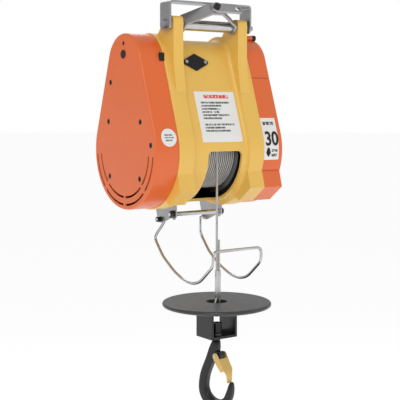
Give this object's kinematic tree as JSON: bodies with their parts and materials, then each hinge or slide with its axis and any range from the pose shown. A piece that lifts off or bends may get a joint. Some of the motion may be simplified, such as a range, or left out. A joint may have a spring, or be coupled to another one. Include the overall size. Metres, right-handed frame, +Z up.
{
  "type": "electric wire rope hoist",
  "caption": "Suspended electric wire rope hoist with end covers, rope drum, limit bail, stop disc and swivel load hook.",
  "frame": {"origin": "centre of the suspension hole, on top of the yoke", "axes": "+Z up, +X along the drum axis from the gearbox cover to the control cover, -Y towards the rope window"},
  "size_m": [0.3195, 0.315, 0.845],
  "materials": {
    "yellow_casting": "satin enamel on a die casting",
    "orange_cover": "satin enamel",
    "black_plastic": "moulded",
    "label": "printed film",
    "black_steel": "black enamel",
    "zinc_steel": "zinc plated",
    "chrome": "polished",
    "wire_rope": "galvanised strands",
    "gear_steel": "machined",
    "copper": "enamelled wire",
    "brass": "stamped",
    "disc_grey": "satin moulded",
    "latch_yellow": "yellow zinc",
    "terminal": "moulded"
  },
  "bodies": {
    "frame": {"housing": "yellow_casting", "gearbox_cover": "orange_cover", "control_cover": "orange_cover", "motor_end_cover": "orange_cover", "inspection_plug": "black_plastic", "cover_screws": "black_steel", "cover_clip": "black_plastic", "round_label": "label", "rating_plate": "label", "height_label": "label", "brush_covers": "black_plastic", "brush_cover_screws": "chrome", "cable_gland": "black_plastic", "cross_tube": "chrome", "suspension_yoke": "zinc_steel", "yoke_bolt": "black_steel", "yoke_nut": "black_steel", "yoke_spacers": "zinc_steel", "stator": "copper", "motor_bearings": "gear_steel", "carbon_brushes": "black_plastic", "brush_holders": "brass", "idler_shaft": "gear_steel", "drum_bearings": "gear_steel", "left_bracket": "zinc_steel", "right_bracket": "zinc_steel", "guide_rod": "chrome", "rod_nuts": "black_steel", "limit_switch": "black_plastic", "terminal_block": "terminal"},
    "drum": {"drum": "zinc_steel", "drum_shaft": "gear_steel", "drum_gear": "gear_steel", "wound_rope": "wire_rope"},
    "idler": {"idler_gear": "gear_steel"},
    "armature": {"rotor": "gear_steel", "commutator": "copper", "cooling_fan": "black_plastic"},
    "block": {"rope_fall": "wire_rope", "rope_loop": "wire_rope", "ferrule": "chrome", "thimble": "zinc_steel", "thimble_pin": "zinc_steel", "stop_disc": "disc_grey", "hook_frame": "black_steel", "thrust_washer": "zinc_steel"},
    "hook": {"hook": "black_steel", "swivel_nut": "black_steel", "latch_pin": "chrome", "latch_spring": "chrome"},
    "latch": {"latch": "latch_yellow"},
    "limit": {"limit_bail": "chrome", "bail_end_caps": "black_plastic"},
    "bail": {"safety_bail": "zinc_steel", "bail_bolt": "black_steel"},
    "eye": {"eye_plate": "zinc_steel"}
  },
  "joints": [
    {"name": "drum_spin", "type": "hinge", "parent": "frame", "child": "drum", "pos_m": [0.014, 0.062, -0.3], "axis": [1, 0, 0], "range_deg": [-21, 174]},
    {"name": "idler_spin", "type": "hinge", "parent": "frame", "child": "idler", "pos_m": [-0.1, 0.062, -0.2], "axis": [1, 0, 0], "range_deg": [-987, 120]},
    {"name": "armature_spin", "type": "hinge", "parent": "frame", "child": "armature", "pos_m": [0, 0.062, -0.125], "axis": [1, 0, 0], "range_deg": [-874, 7232]},
    {"name": "hook_travel", "type": "slide", "parent": "frame", "child": "block", "axis": [0, 0, -1], "range_m": [-0.03, 0.24], "deforming": ["rope_fall"]},
    {"name": "hook_swivel", "type": "hinge", "parent": "block", "child": "hook", "pos_m": [0.014, -0.017, -0.685], "axis": [0, 0, 1], "continuous": true},
    {"name": "latch_pivot", "type": "hinge", "parent": "hook", "child": "latch", "pos_m": [0.01607, -0.02473, -0.728], "axis": [0.9659, 0.2588, 0], "range_deg": [0, 40], "stiffness_Nm_per_rad": 0.08, "springref_deg": -34.38},
    {"name": "limit_lift", "type": "hinge", "parent": "frame", "child": "limit", "pos_m": [0.014, 0.107, -0.449], "axis": [-1, 0, 0], "range_deg": [0, 20]},
    {"name": "bail_swing", "type": "hinge", "parent": "frame", "child": "bail", "pos_m": [0, 0, -0.046], "axis": [1, 0, 0], "range_deg": [0, 60]},
    {"name": "eye_swivel", "type": "hinge", "parent": "bail", "child": "eye", "pos_m": [0, -0.03126, -0.01363], "axis": [0, -0.6947, 0.7193], "range_deg": [-90, 0]}
  ],
  "couplings": [
    {"joint": "idler_spin", "follows": "drum_spin", "ratio": -5.6667},
    {"joint": "armature_spin", "follows": "drum_spin", "ratio": 41.556},
    {"joint": "hook_travel", "follows": "drum_spin", "m_per_rad": 0.079}
  ]
}
